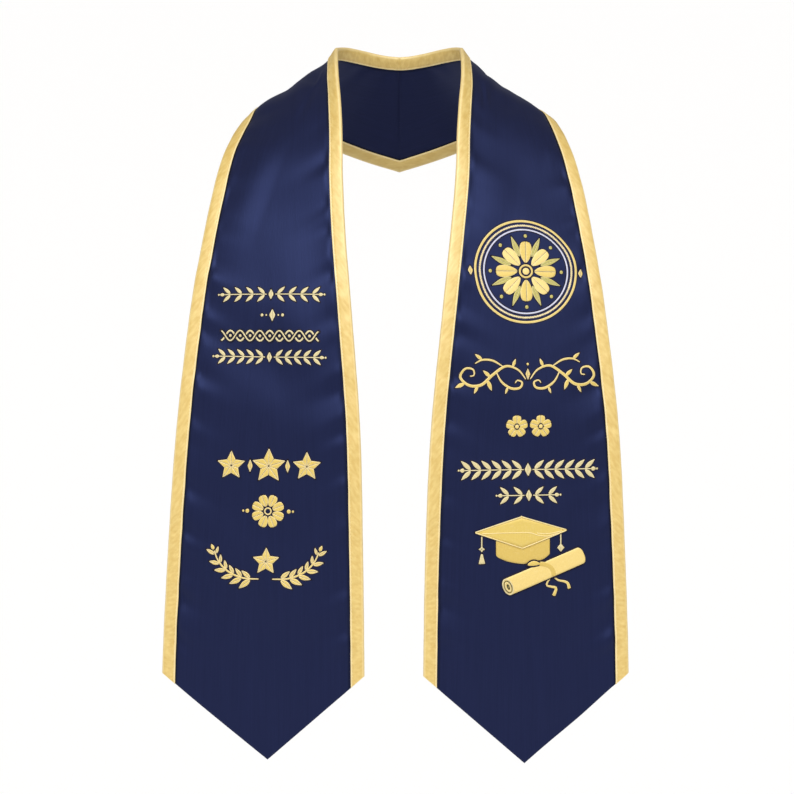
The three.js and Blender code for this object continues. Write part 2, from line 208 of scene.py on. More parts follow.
class Band:
    """One band of cloth as a surface: a length along it and a share across it give a point."""

    def __init__(self, side):
        self.side = side
        self.sign = side["sign"]
        front = {name: np.array(values, float) for name, values in FRONT.items()}
        back = {name: np.array(values, float) for name, values in BACK.items()}
        around = np.radians(back["round"])
        self.sections = np.vstack(
            [
                self.section_rows(
                    NECK_HALF_WIDTH * np.array(side["out"]),
                    -NECK_BEHIND - CHEST_REACH * front["reach"],
                    NAPE_FALL - FRONT_DROP * front["drop"],
                    mix(SHOULDER_WIDTH, HEM_WIDTH, np.array(side["flare"])),
                    front,
                ),
                self.section_rows(
                    NECK_HALF_WIDTH * np.cos(around),
                    -NECK_BEHIND * (1 - np.sin(around)),
                    NAPE_FALL * (1 - back["fall"]),
                    mix(SHOULDER_WIDTH, SEAM_LENGTH, back["widen"]),
                    back,
                ),
            ]
        )
        self.places = lengths_along((self.sections[:, 0:3] + self.sections[:, 3:6]) / 2)
        self.length = self.places[-1]
        self.origin = np.zeros(3)

    def section_rows(self, x, y, z, width, table):
        """A row for each section: its neck edge, its outer edge, its crown and its hollow."""
        turn, tilt = np.radians(table["turn"]), np.radians(table["tilt"])
        inner = np.stack([self.sign * (CLEARANCE / 2 + x), y, z], axis=1)
        level = np.cos(tilt)
        across = [self.sign * level * np.cos(turn), level * np.sin(turn), -np.sin(tilt)]
        outer = inner + np.stack(across, axis=1) * width[:, None]
        bends = np.stack([table["crown"] * width, table["hollow"] * width], axis=1)
        return np.hstack([inner, outer, bends])

    def section_at(self, along):
        """The sections' row at a length along the band, on a smooth curve through them."""
        places, rows = self.places, self.sections
        last = len(places) - 1
        i = np.clip(np.searchsorted(places, along) - 1, 0, last - 1)

        def slope(k):
            a, b = np.maximum(k - 1, 0), np.minimum(k + 1, last)
            return (rows[b] - rows[a]) / (places[b] - places[a])[..., None]

        run = (places[i + 1] - places[i])[..., None]
        u = (along - places[i])[..., None] / run
        return (
            (2 * u**3 - 3 * u**2 + 1) * rows[i]
            + (u**3 - 2 * u**2 + u) * run * slope(i)
            + (3 * u**2 - 2 * u**3) * rows[i + 1]
            + (u**3 - u**2) * run * slope(i + 1)
        )

    def width(self, along):
        section = self.section_at(along)
        return np.linalg.norm(section[..., 3:6] - section[..., 0:3], axis=-1)

    def fold_height(self, along, from_inner, width):
        height = np.zeros_like(along)
        for fold in self.side["folds"]:
            ahead = along - fold.along * self.length
            aside = from_inner - fold.across * width
            c, s = math.cos(math.radians(fold.slant)), math.sin(math.radians(fold.slant))
            lengthwise = (ahead * c + aside * s) / (fold.long * HEM_WIDTH)
            crosswise = (aside * c - ahead * s) / (fold.wide * HEM_WIDTH)
            height += fold.high * HEM_WIDTH * soft_bump(lengthwise) * soft_bump(crosswise)
        return height

    def pucker_height(self, along, from_edge, start):
        inward = np.clip(from_edge - RIBBON_WIDTH, 0, None)
        height = waves_at(PUCKERS, along + PUCKER_SLANT * inward, start)
        begun = ramped(inward, *PUCKER_START)
        held = mix(UNDER_RIBBON, 1, begun**2 * (3 - 2 * begun))
        patch = (1 + np.sin(2 * np.pi * (along / PUCKER_PATCH + start))) / 2
        strong = mix(WEAKEST_PUCKER, 1, patch)
        fades = mix(1, OVER_SHOULDER, ramped(along / self.length, *SHOULDER_START))
        return height * held * strong * fades * np.exp(-inward / PUCKER_REACH)

    def unevenness(self, along, from_inner, width):
        from_outer = width - from_inner
        beside_neck, beside_outer = self.side["pucker_starts"]
        swells = waves_at(SWELLS, along + SWELL_SLANT * self.sign * from_inner)
        return (
            self.pucker_height(along, from_inner, beside_neck)
            + self.pucker_height(along, from_outer, beside_outer)
            + swells * 4 * from_inner * from_outer / width**2
        )

    def point(self, along, share):
        here = self.section_at(along)
        inner, outer = here[..., 0:3], here[..., 3:6]
        lengthwise = self.section_at(along + 1) - self.section_at(along - 1)
        across = outer - inner
        width = np.linalg.norm(across, axis=-1)
        outward = unit(np.cross(across, lengthwise[..., 0:3] + lengthwise[..., 3:6])) * self.sign
        deepest = 0.25 * 0.75**3  # value of share * (1 - share)**3 where it is largest
        height = (
            here[..., 6] * 4 * share * (1 - share)
            - here[..., 7] * share * (1 - share) ** 3 / deepest
            + self.fold_height(along, share * width, width)
            + self.unevenness(along, share * width, width)
        )
        return inner + across * share[..., None] + outward * height[..., None]

    def outward(self, along, share):
        """Outward direction of the cloth. On the back seam it stays in the seam's plane, and
        is as long as the mitre needs."""
        step, share_step = 0.5, 0.01
        on_seam = along > self.length - step
        foot = np.where(on_seam, self.length - step, along)
        lengthwise = self.point(foot + step, share) - self.point(foot - step, share)
        low, high = np.maximum(share - share_step, 0), np.minimum(share + share_step, 1)
        across = self.point(foot, high) - self.point(foot, low)
        outward = unit(np.cross(across, lengthwise)) * self.sign
        flat = outward * [0, 1, 1]
        mitred = flat / np.sum(flat**2, axis=-1, keepdims=True)
        return np.where(on_seam[..., None], mitred, outward)

    def above(self, along, share, height):
        """The point that is height millimetres over the middle of the cloth."""
        at = self.point(along, share) + self.outward(along, share) * height[..., None]
        return at - self.origin

    def hem(self, share):
        """Length along the band at which the hem crosses it: level with the hem's corners at
        both edges, and lowest at the point."""
        middle = self.side["point_across"]
        from_point = np.where(share < middle, share / middle, (1 - share) / (1 - middle))
        return POINT_HEIGHT * (1 - self.side["point"] * from_point)

    def along_of(self, row, share):
        """Length along the band of a row. The lowest rows slant to follow the hem."""
        return row + self.hem(share) * np.clip(1 - row / HEM_BLEND, 0, None)

    def wall(self, row, distance, height, from_outer=False):
        """A point of a wall, by its row, its distance from an edge of the band and its height
        over the middle of the cloth. The seam's row lies in the middle plane, where the two
        bands are sewn together."""
        share = distance / self.width(row)
        share = 1 - share if from_outer else share
        points = self.above(self.along_of(row, share), share, height)
        points[..., 0] = np.where(row > self.length - ON_SEAM, 0, points[..., 0])
        return points

    def on_face(self, along, share, x, y, height):
        """A point over the front face, x to the right and y up from a place on the band."""
        length = along + y
        across = share + self.sign * x / self.width(length)
        return self.above(length, across, height + PANEL_WALL / 2)


BANDS = {"left": Band(LEFT), "right": Band(RIGHT)}


def put_nape_at_origin():
    """The underside of the cloth in the middle of the back seam is the origin."""
    band = BANDS["right"]
    seam = [np.array([v], float) for v in (band.length, SEAM_LENGTH / 2, -PANEL_WALL / 2)]
    nape = band.wall(*seam)[0]
    for each in BANDS.values():
        each.origin = nape * [0, 1, 1]


put_nape_at_origin()

# Meshes.


def ring_quads(rings, around, closed=False):
    """Quads between each ring of points and the next, and from the last to the first where
    the row of rings is closed."""
    faces = []
    for i in range(rings if closed else rings - 1):
        a, b = i * around, (i + 1) % rings * around
        for j in range(around):
            k = (j + 1) % around
            faces.append((a + j, a + k, b + k, b + j))
    return faces


def wall_faces(rings, around):
    """Faces of a wall whose rings run out along one face and back along the other, with a
    strip over each of its two ends."""
    faces = ring_quads(rings, around)
    for end in (0, (rings - 1) * around):
        for j in range(around // 2 - 1):
            back = around - 1 - j
            faces.append((end + j, end + j + 1, end + back - 1, end + back))
    return faces


def mesh_piece(name, points, faces, material, attributes=(), sharp=50):
    """A finished piece: points in millimetres, faces turned outwards, smooth shading."""
    mesh = bpy.data.meshes.new(name)
    mesh.from_pydata((points * MM).tolist(), [], faces)
    for attribute, values in dict(attributes).items():
        made = mesh.attributes.new(attribute, "FLOAT_VECTOR", "POINT")
        made.data.foreach_set("vector", np.asarray(values, np.float32).ravel())
    turned = bmesh.new()
    turned.from_mesh(mesh)
    bmesh.ops.recalc_face_normals(turned, faces=turned.faces)
    turned.to_mesh(mesh)
    turned.free()
    mesh.shade_smooth()
    mesh.set_sharp_from_angle(angle=math.radians(sharp))
    mesh.materials.append(material)
    piece = bpy.data.objects.new(name, mesh)
    bpy.context.scene.collection.objects.link(piece)
    return piece


# Materials.


def colour(code):
    """A linear colour from an sRGB hex value."""
    parts = [int(code[i : i + 2], 16) / 255 for i in (1, 3, 5)]
    return (*(p / 12.92 if p <= 0.04045 else ((p + 0.055) / 1.055) ** 2.4 for p in parts), 1)


def fill(node, inputs):
    """Give each named socket of a node a value, or link another node's output to it."""
    for socket, value in dict(inputs).items():
        if isinstance(value, bpy.types.NodeSocket):
            node.id_data.links.new(value, node.inputs[socket])
        else:
            node.inputs[socket].default_value = value


def add(owner, kind, inputs=(), shades=(), **settings):
    """A node with its inputs and settings, in a material or a node group. shades gives a
    colour ramp its two ends, each a place from 0 to 1 and a hex value."""
    node = getattr(owner, "node_tree", owner).nodes.new(kind)
    for name, value in settings.items():
        setattr(node, name, value)
    for k, (place, code) in enumerate(shades):
        node.color_ramp.elements[k].position = place
        node.color_ramp.elements[k].color = colour(code)
    fill(node, inputs)
    return node


def new_material(name):
    """A material and its Principled surface. Its other nodes are added to it."""
    material = bpy.data.materials.new(name)
    material.use_nodes = True
    return material, material.node_tree.nodes["Principled BSDF"]


def places_on(material, attribute):
    """The places on a piece in its own millimetres, as the outputs X, Y and Z."""
    place = add(material, "ShaderNodeAttribute", attribute_name=attribute)
    return add(material, "ShaderNodeSeparateXYZ", {0: place.outputs["Vector"]}).outputs


def cloth_noise(material, across, along, detail=2.0, attribute="cloth", slant=0):
    """Noise on the cloth's own millimetres, with a grain of that size across and along, which
    leans that many degrees."""
    place = add(material, "ShaderNodeAttribute", attribute_name=attribute)
    turned = add(
        material,
        "ShaderNodeMapping",
        {"Vector": place.outputs["Vector"], "Rotation": (0, 0, math.radians(slant))},
    )
    scaled = add(
        material,
        "ShaderNodeMapping",
        {"Vector": turned.outputs["Vector"], "Scale": (1 / across, 1 / along, 1)},
    )
    inputs = {"Vector": scaled.outputs["Vector"], "Scale": 1.0, "Detail": detail}
    return add(material, "ShaderNodeTexNoise", inputs).outputs["Fac"]


SEAM_SHADE = (1.5, 2.7)  # how far the shade in the ribbon's seam reaches onto the satin
NECK_SIDE_SHADE = 0.7  # how much further it reaches beside the neck edge


def navy_satin():
    """Woven polyester satin, dyed navy: long floats of warp give soft, lengthwise streaks and
    a broad highlight in the cloth's own colour. A float is about 0.1 mm wide, and is drawn
    1.2 mm wide so that it shows."""
    material, surface = new_material("navy_polyester_satin")
    streaks = cloth_noise(material, 1.2, 60, 3)
    clouds = cloth_noise(material, 55, 80)
    faint = add(material, "ShaderNodeMath", {0: streaks, 1: 0.45}, operation="MULTIPLY")
    tone = add(
        material,
        "ShaderNodeMath",
        {0: clouds, 1: 0.55, 2: faint.outputs[0]},
        operation="MULTIPLY_ADD",
    )
    dyed = add(
        material,
        "ShaderNodeValToRGB",
        {"Fac": tone.outputs[0]},
        shades=((0.3, "#0d0f23"), (0.7, "#12152d")),
    )
    from_ribbon = places_on(material, "cloth")["Z"]
    beside = add(
        material,
        "ShaderNodeMapRange",
        {"Value": from_ribbon, 1: SEAM_SHADE[0], 2: SEAM_SHADE[1], 3: 0.85, 4: 0.0},
        interpolation_type="SMOOTHSTEP",
    )
    shaded = add(
        material,
        "ShaderNodeMix",
        {0: beside.outputs[0], 6: dyed.outputs["Color"], 7: colour("#07060a")},
        data_type="RGBA",
    )
    weave = cloth_noise(material, 1.0, 7)
    bump = add(material, "ShaderNodeBump", {"Height": weave, "Strength": 0.22, "Distance": 0.0003})
    fill(
        surface,
        {
            "Base Color": shaded.outputs[2],
            "Normal": bump.outputs["Normal"],
            "Roughness": 0.48,
            "IOR": 1.5,
            "Specular IOR Level": 0.5,
            "Specular Tint": colour("#8ea4ff"),
            "Sheen Weight": 0.06,
            "Sheen Roughness": 0.5,
            "Sheen Tint": colour("#5b66a8"),
        },
    )
    return material


EDGE_HIGHLIGHT = 1.3  # width of the ribbon's edges that are painted paler, as a highlight where they catch the light


def gold_ribbon():
    """Double-faced satin ribbon in old gold: a fine weave across, soft slanted lights where the
    ribbon is not quite flat, helped by a slanted mottle of painted sheen in its colour, and a paler
    edge at its fold, its selvedge and its cut end, which is painted highlight."""
    material, surface = new_material("gold_satin_ribbon")
    # The slanted mottle in the base colour is painted sheen, added to the real light from the
    # ribbon's waves.
    mottle = cloth_noise(material, 2.6, 8, 3, slant=32)
    base = add(
        material,
        "ShaderNodeValToRGB",
        {"Fac": mottle},
        shades=((0.32, "#c4a250"), (0.68, "#d4b86d")),
    )
    # The fold, the selvedge and the cut end are painted paler: a painted highlight where the edges
    # catch the light.
    places = places_on(material, "cloth")
    selvedge = RIBBON_WIDTH + RIBBON_SPREAD
    pale = 0.0
    for axis, start, end, most in (
        ("X", selvedge - 1.5 * EDGE_HIGHLIGHT, selvedge - 0.7 * EDGE_HIGHLIGHT, 0.6),
        ("X", 1.3 * EDGE_HIGHLIGHT, 0.5 * EDGE_HIGHLIGHT, 0.35),
        ("Y", EDGE_HIGHLIGHT, 0.5 * EDGE_HIGHLIGHT, 0.8),
    ):
        near = add(
            material,
            "ShaderNodeMapRange",
            {"Value": places[axis], 1: start, 2: end, 3: 0.0, 4: most},
            interpolation_type="SMOOTHSTEP",
        )
        both = {0: near.outputs[0], 1: pale}
        pale = add(material, "ShaderNodeMath", both, operation="MAXIMUM").outputs[0]
    edged = add(
        material,
        "ShaderNodeMix",
        {0: pale, 6: base.outputs["Color"], 7: colour("#e8d5a2")},
        data_type="RGBA",
    )
    weave = cloth_noise(material, 6, 1.0)
    bump = add(material, "ShaderNodeBump", {"Height": weave, "Strength": 0.25, "Distance": 0.0003})
    fill(
        surface,
        {
            "Base Color": edged.outputs[2],
            "Normal": bump.outputs["Normal"],
            "Roughness": 0.48,
            "IOR": 1.64,
            "Specular IOR Level": 1.0,
            "Specular Tint": colour("#fff6dc"),
            "Sheen Weight": 0.1,
            "Sheen Tint": colour("#fff0c8"),
        },
    )
    return material


# Each thread's colour in the middle of a column of satin stitch, and at its edges, where the
# threads turn down and catch the light.
THREADS = {
    "gold": ("#cfb45e", "#dfcda0"),
    "pale_gold": ("#c9ba8a", "#dccfa6"),
    "old_gold": ("#c8ab58", "#dcc88c"),
    "cream": ("#dcc176", "#ecdcaa"),
    "olive": ("#a59b4e", "#d2c88a"),
    "silver": ("#aeb0c8", "#d6d6e6"),
    "moss": ("#262e22", "#333b2a"),
}
STITCH_PITCH = 1.3  # a thread is 0.4 mm wide, and is drawn at this width so that it shows
LIGHT_EDGE = 0.8  # width of the lighter edge of a column


def embroidery_thread(name, middle, edge):
    """Trilobal rayon thread laid side by side in satin stitch: fine ridges across each column,
    a silky gloss, and lighter edges."""
    material, surface = new_material(f"rayon_thread_{name}")
    places = places_on(material, "thread")
    patch = cloth_noise(material, 3.5, 3.5, attribute="thread")
    strand = cloth_noise(material, STITCH_PITCH * 0.8, 9, attribute="thread")
    to_edge = add(
        material,
        "ShaderNodeMapRange",
        {"Value": places["Z"], 1: 0.0, 2: LIGHT_EDGE, 3: 1.0, 4: 0.0},
        interpolation_type="SMOOTHSTEP",
    )
    half = add(material, "ShaderNodeMath", {0: strand, 1: 0.5}, operation="MULTIPLY")
    tone = add(
        material,
        "ShaderNodeMath",
        {0: patch, 1: 0.5, 2: half.outputs[0]},
        operation="MULTIPLY_ADD",
    )
    shade = add(
        material,
        "ShaderNodeMapRange",
        {"Value": tone.outputs[0], 1: 0.3, 2: 0.7, 3: -0.22, 4: 0.22},
    )
    lit = add(
        material,
        "ShaderNodeMath",
        {0: to_edge.outputs[0], 1: shade.outputs[0]},
        operation="ADD",
        use_clamp=True,
    )
    base = add(
        material,
        "ShaderNodeValToRGB",
        {"Fac": lit.outputs[0]},
        shades=((0.0, middle), (1.0, edge)),
    )
    turns = add(
        material,
        "ShaderNodeMath",
        {0: places["X"], 1: 2 * math.pi / STITCH_PITCH},
        operation="MULTIPLY",
    )
    ridges = add(material, "ShaderNodeMath", {0: turns.outputs[0]}, operation="SINE")
    bump = add(
        material,
        "ShaderNodeBump",
        {"Height": ridges.outputs[0], "Strength": 0.35, "Distance": 0.00012},
    )
    fill(
        surface,
        {
            "Base Color": base.outputs["Color"],
            "Normal": bump.outputs["Normal"],
            "Roughness": 0.38,
            "IOR": 1.53,
            "Specular Tint": colour("#fff3d0"),
        },
    )
    return material


def sewing_thread():
    """Spun polyester sewing thread, a shade deeper than the ribbon that it holds: soft, with
    little gloss."""
    material, surface = new_material("polyester_sewing_thread")
    place = add(material, "ShaderNodeTexCoord")
    fuzz = add(
        material,
        "ShaderNodeTexNoise",
        {"Vector": place.outputs["Object"], "Scale": 1 / (0.8 * MM), "Detail": 2.0},
    )
    base = add(
        material,
        "ShaderNodeValToRGB",
        {"Fac": fuzz.outputs["Fac"]},
        shades=((0.3, "#c5a352"), (0.7, "#dcc17a")),
    )
    fill(surface, {"Base Color": base.outputs["Color"], "Roughness": 0.6})
    return material


def shade_outline_thread():
    """A single run of dark matt thread round each column, sunk into the satin. Its darkness is
    painted shade, standing for the shade at the foot of the raised stitches.
    """
    material, surface = new_material("cotton_thread_painted_shade")
    fuzz = cloth_noise(material, 1.0, 1.0, attribute="thread")
    base = add(
        material,
        "ShaderNodeValToRGB",
        {"Fac": fuzz},
        shades=((0.3, "#14121f"), (0.7, "#241d2b")),
    )
    bump = add(material, "ShaderNodeBump", {"Height": fuzz, "Strength": 0.4, "Distance": 0.0001})
    fill(
        surface,
        {
            "Base Color": base.outputs["Color"],
            "Normal": bump.outputs["Normal"],
            "Roughness": 0.8,
            "Specular IOR Level": 0.2,
        },
    )
    return material


# Panels and ribbons.

FINE_STEP = 2.4  # spacing of the mesh along the bands
SATIN_COLUMNS = 56  # spans of the mesh across the satin, apart from those at its edges
HEM_STEPS = (6, 30, 60, 90)  # degrees round the half circle of the hem's edge
SEAM_DIP = 0.55  # how deep the cloth turns in at the back seam
SEAM_DIP_REACH = 1.8
HEM_FOLD = 8.0  # width of the turned-in cloth along the hem
HEM_FOLD_HEIGHT = 0.22
HEM_FOLD_SLOPE = 0.5  # how softly the turned-in cloth ends
SEAM_ROWS = (3.4, 2.3, 1.5, 0.9, 0.45, 0)  # closer rows before the back seam
UNDER_FOLD = (RIBBON_INSIDE + 0.2, 4)  # columns that lie hidden in the ribbon's fold
BESIDE_RIBBON = (-0.6, 0, 0.5, 1.0, 1.7, 2.6, 3.8, 5.2)  # closer columns at the ribbon's edge
TUCK = 0.4  # how deep the stitching draws the satin in beside the ribbon
TUCK_REACH = 1.0


def band_rows(band, step):
    even = np.arange(step, band.length - SEAM_ROWS[0] - step / 2, step)
    return np.concatenate([even, band.length - np.array(SEAM_ROWS)])


def seam_dip(band, rows):
    return SEAM_DIP * np.exp(-(((band.length - rows) / SEAM_DIP_REACH) ** 2))


def satin_panel(name, band, material):
    """The satin: an even wall with a rounded hem, from one ribbon's fold to the other's."""
    radius = PANEL_WALL / 2
    hem_angles = np.radians(HEM_STEPS)
    rows = np.concatenate([radius * (1 - np.cos(hem_angles)), band_rows(band, FINE_STEP)])
    thick = np.concatenate([np.sin(hem_angles), np.ones(len(rows) - len(hem_angles))])
    turned_in = HEM_FOLD_HEIGHT / (1 + np.exp((rows - HEM_FOLD) / HEM_FOLD_SLOPE))
    half = (radius + np.where(thick < 1, 0, turned_in)) * thick - seam_dip(band, rows)
    edge = np.array([*UNDER_FOLD, *(RIBBON_WIDTH + np.array(BESIDE_RIBBON))])
    width = band.width(rows)[:, None]
    middle = band.side["point_across"] * width
    spread = np.linspace(0, 1, SATIN_COLUMNS // 2)
    distance = np.concatenate(
        [
            np.broadcast_to(edge, (len(rows), len(edge))),
            mix(edge[-1], middle, spread[1:]),
            mix(middle, width - edge[-1], spread[1:-1]),
            width - edge[::-1],
        ],
        axis=1,
    )
    from_ribbon = np.minimum(distance, width - distance) - RIBBON_WIDTH
    from_shade = from_ribbon - NECK_SIDE_SHADE * (distance < width / 2)
    tuck = TUCK * np.exp(-((from_ribbon / TUCK_REACH) ** 2))
    row = np.broadcast_to(rows[:, None], distance.shape)
    height = half[:, None] - tuck * thick[:, None]
    front = band.wall(row, distance, height)
    back = band.wall(row, distance, -height)
    rings = np.concatenate([front, back[:, ::-1]], axis=1)
    cloth = np.stack([distance, row, from_shade], axis=-1)
    cloth = np.concatenate([cloth, cloth[:, ::-1]], axis=1)
    return mesh_piece(
        name,
        rings.reshape(-1, 3),
        wall_faces(*rings.shape[:2]),
        material,
        {"cloth": cloth.reshape(-1, 3)},
        sharp=60,
    )


RIBBON_STEP = 1.9
RIBBON_END = (-0.1, 0.6)  # rows over which the cut end rounds off, so that some edge is left
RIBBON_END_ROWS = (0, 0.15, 0.4, 0.8)
RIBBON_THICK = 0.8  # in its middle
RIBBON_EDGE = 0.55  # beside its woven edge
RIBBON_LIP = 0.11  # at the woven edge itself
RIBBON_STITCH = 1.5  # from the woven edge to the stitching
RIBBON_PLACES = (0, 0.12, 0.6, 1.1, RIBBON_STITCH, 1.9, 3, 4.8, 6.6)  # in from the woven edge
STITCH_DENT = 0.14
RIBBON_SPREAD = 0.45  # how far the ribbon reaches past the frame's solid, to both sides
RIBBON_BACK = RIBBON_INSIDE - 0.05  # height of the ribbon's face towards the satin
FOLD_ANGLES = (72, 50, 28, 9)  # degrees round the fold, down to the middle of the cloth
FOLD_THICK = 0.7
FOLD_DEPTH = 1.9  # the rounded fold over the band's edge
FOLD_INSIDE = 0.5  # where the fold's inner face begins
FOLD_INSIDE_DEPTH = 1.14
RIBBON_WAVES = (Wave(10.5, 0.1, 0.2), Wave(16.5, 0.07, 0.6))
RIBBON_WAVE_SLANT = 0.8
LOOSE_MIDDLE = 5  # where the ribbon lies loosest, from the band's edge
LOOSE_REACH = 4.5


def ribbon_profile():
    """Outer and inner points of the folded ribbon, as distance from the band's edge and
    height, from the woven edge in front round the fold to the woven edge behind."""
    flat = np.array(RIBBON_PLACES) / RIBBON_WIDTH
    distance = (RIBBON_WIDTH + RIBBON_SPREAD) * (1 - flat)
    thick = mix(RIBBON_EDGE, RIBBON_THICK, np.sin(np.pi * flat) ** 0.7)
    thick[0] = RIBBON_LIP
    thick[RIBBON_PLACES.index(RIBBON_STITCH)] -= STITCH_DENT
    angles = np.radians(FOLD_ANGLES)
    rounded, upright = 1 - np.cos(angles), np.sin(angles)
    outer = np.stack(
        [
            [*distance, *(FOLD_DEPTH * rounded - RIBBON_SPREAD)],
            [*(RIBBON_INSIDE + thick), *((RIBBON_INSIDE + FOLD_THICK) * upright)],
        ],
        axis=1,
    )
    inner = np.stack(
        [
            [*distance, *(FOLD_INSIDE + FOLD_INSIDE_DEPTH * rounded)],
            [*np.full(len(distance), RIBBON_BACK), *(RIBBON_BACK * upright)],
        ],
        axis=1,
    )
    mirror = [1, -1]
    return np.vstack([outer, outer[::-1] * mirror]), np.vstack([inner, inner[::-1] * mirror])


def ribbon_lift(band, row, distance, from_outer):
    """The ribbon isn't quite flat between its fold and its stitching."""
    loose = np.clip(1 - ((distance - LOOSE_MIDDLE) / LOOSE_REACH) ** 2, 0, 1)
    start = band.side["ribbon_starts"][int(from_outer)]
    return loose * waves_at(RIBBON_WAVES, row + RIBBON_WAVE_SLANT * distance, start)


def ribbon_trim(name, band, from_outer, material):
    outer, inner = ribbon_profile()
    rows = np.concatenate([RIBBON_END_ROWS, band_rows(band, RIBBON_STEP)])
    rounding = np.sqrt(1 - (1 - ramped(rows, *RIBBON_END)) ** 2)[:, None]
    dip = seam_dip(band, rows)[:, None]

    def shell(profile, lifted):
        distance = np.broadcast_to(profile[:, 0], (len(rows), len(profile)))
        row = np.broadcast_to(rows[:, None], distance.shape)
        height = np.broadcast_to(profile[:, 1], distance.shape)
        if lifted:
            thinned = mix(RIBBON_INSIDE, np.abs(height), rounding)
            raised = thinned + ribbon_lift(band, row, distance, from_outer) - dip
            raised = np.where(np.abs(height) > RIBBON_INSIDE, raised, np.abs(height))
            height = np.sign(height) * raised
        return row, distance, height

    parts = [shell(outer, True), shell(inner[::-1], False)]
    row, distance, height = (np.concatenate([a, b], axis=1) for a, b in zip(*parts))
    points = band.wall(row, distance, height, from_outer)
    cloth = np.stack([distance, row, height], axis=-1)
    return mesh_piece(
        name,
        points.reshape(-1, 3),
        wall_faces(*row.shape),
        material,
        {"cloth": cloth.reshape(-1, 3)},
        sharp=70,
    )


# Satin stitch.

# A column of satin stitch, drawn flat with x to the right and y up: its left and right edges
# as rows of points, whether its ends meet, how many layers it lies over, and whether a dark
# run goes round it.
Column = namedtuple("Column", "thread left right closed layer dark", defaults=(False, 0, True))

DRAWN_STEP = 1.2  # spacing of the points along a column
DOME = np.array([-1, -0.93, -0.72, -0.38, 0, 0.38, 0.72, 0.93, 1])  # shares of half its width
SUNK = -0.25  # the lower side of a column, below the satin's face
COLUMN_HEIGHT = 0.3  # of the narrowest column
HEIGHT_BY_WIDTH = 0.1  # what a column gains for each millimetre of half its width
FULL_WIDTH = 3.2  # half width from which a column gains no more
FLAT_TOP = 1.5  # half width that adds 1 to the flatness of a column's top
COLUMN_TIP = 0.9  # length of the rounding at a column's end
OUTLINE = 0.75  # width of the dark run beside a column
OUTLINE_SHARES = np.array([-1, -0.96, -0.55, 0, 0.55, 0.96, 1])  # of half the run's width
OUTLINE_HEIGHT = 0.1
OUTLINE_TIP = 0.3  # how narrow the run is past the end of a column
LEAST_WIDTH = 0.12
LAYER_HEIGHT = 0.66  # what a column gains for each layer that it lies over


def across_of(path, closed=False):
    if closed:
        way = np.roll(path, -1, axis=0) - np.roll(path, 1, axis=0)
    else:
        way = np.gradient(path, axis=0)
    way = unit(way)
    return np.stack([-way[:, 1], way[:, 0]], axis=1)


def reach_of(path, widths, closed=False):
    """How far a column reaches to the left of its path, at each point."""
    half = np.broadcast_to(np.maximum(widths, LEAST_WIDTH) / 2, len(path))
    return across_of(path, closed) * half[:, None]


def column(thread, path, widths, closed=False):
    reach = reach_of(path, widths, closed)
    return [Column(thread, path + reach, path - reach, closed)]


def halves(thread, spine, widths):
    """Two columns that meet in a groove along a spine, as the halves of a leaf."""
    reach = reach_of(spine, widths)
    return [Column(thread, spine + reach, spine), Column(thread, spine, spine - reach)]


def between(thread, lower, upper):
    """Stitches straight up and down between two edges, each a few points from left to right."""
    lower, upper = np.array(lower, float), np.array(upper, float)
    corners = np.concatenate([lower[:, 0], upper[:, 0]])
    even = np.linspace(corners.min(), corners.max(), round(np.ptp(corners) / DRAWN_STEP))
    x = np.unique(np.concatenate([corners, even]))
    low, high = np.interp(x, *lower.T), np.interp(x, *upper.T)
    high = np.maximum(high, low + LEAST_WIDTH)
    return [Column(thread, np.stack([x, high], axis=1), np.stack([x, low], axis=1))]


def evenly(curve):
    """The same curve as an even row of points."""
    lengths = lengths_along(curve)
    count = max(round(lengths[-1] / DRAWN_STEP), 6) + 1
    wanted = np.linspace(0, lengths[-1], count)
    return np.stack([np.interp(wanted, lengths, c) for c in curve.T], axis=1)


def through(*points):
    """An even row of points on a smooth curve through the ones given."""
    points = np.array(points, float)
    padded = np.vstack([2 * points[0] - points[1], points, 2 * points[-1] - points[-2]])
    u = np.linspace(0, 1, 25)[:-1, None]
    rows = []
    for p, q, r, t in zip(padded, padded[1:], padded[2:], padded[3:]):
        bend = 2 * p - 5 * q + 4 * r - t
        rows.append((2 * q + (r - p) * u + bend * u**2 + (3 * (q - r) + t - p) * u**3) / 2)
    return evenly(np.vstack([*rows, points[-1:]]))


def line(start, end):
    return evenly(np.array([start, end], float))


def polar(angle, distance=1):
    """The point at a distance from the middle, that many degrees round from the right."""
    turn = math.radians(angle)
    return distance * np.array([math.cos(turn), math.sin(turn)])


def ray(centre, angle, start, end):
    """A straight path out from a centre, between two distances from it."""
    return line(centre + polar(angle, start), centre + polar(angle, end))


def swelling(path, thin, thick):
    """Widths that swell from thin at both ends to thick in the middle."""
    return mix(thin, thick, np.sin(np.pi * np.linspace(0, 1, len(path))) ** 0.8)


def leaf(thread, base, angle, length, width, split=False):
    spine = ray(np.array(base, float), angle, 0, length)
    t = np.linspace(0, 1, len(spine))
    widths = width * np.sin(np.pi * t**0.8)
    return (halves if split else column)(thread, spine, widths)


def petal(thread, angle, start, end, width):
    spine = ray(np.zeros(2), angle, start, end)
    t = np.linspace(0, 1, len(spine))
    grows, closes = 0.7, 0.4
    widest = grows / (grows + closes)
    full = widest**grows * (1 - widest) ** closes
    return halves(thread, spine, width * t**grows * (1 - t) ** closes / full)


def lozenge(thread, centre, width, height):
    x, y = centre
    spine = line((x, y - height / 2), (x, y + height / 2))
    t = np.linspace(-1, 1, len(spine))
    return halves(thread, spine, width * (1 - abs(t)))


def dot(thread, centre, radius):
    x, y = centre
    angles = np.linspace(0, np.pi, 9)
    path = np.stack([x - radius * np.cos(angles), np.full_like(angles, y)], axis=1)
    return column(thread, path, 2 * radius * np.sin(angles))


def ring(thread, radius, width):
    angles = np.linspace(0, 2 * np.pi, round(2 * np.pi * radius / DRAWN_STEP), endpoint=False)
    path = radius * np.stack([np.cos(angles), np.sin(angles)], axis=1)
    return column(thread, path, width, closed=True)


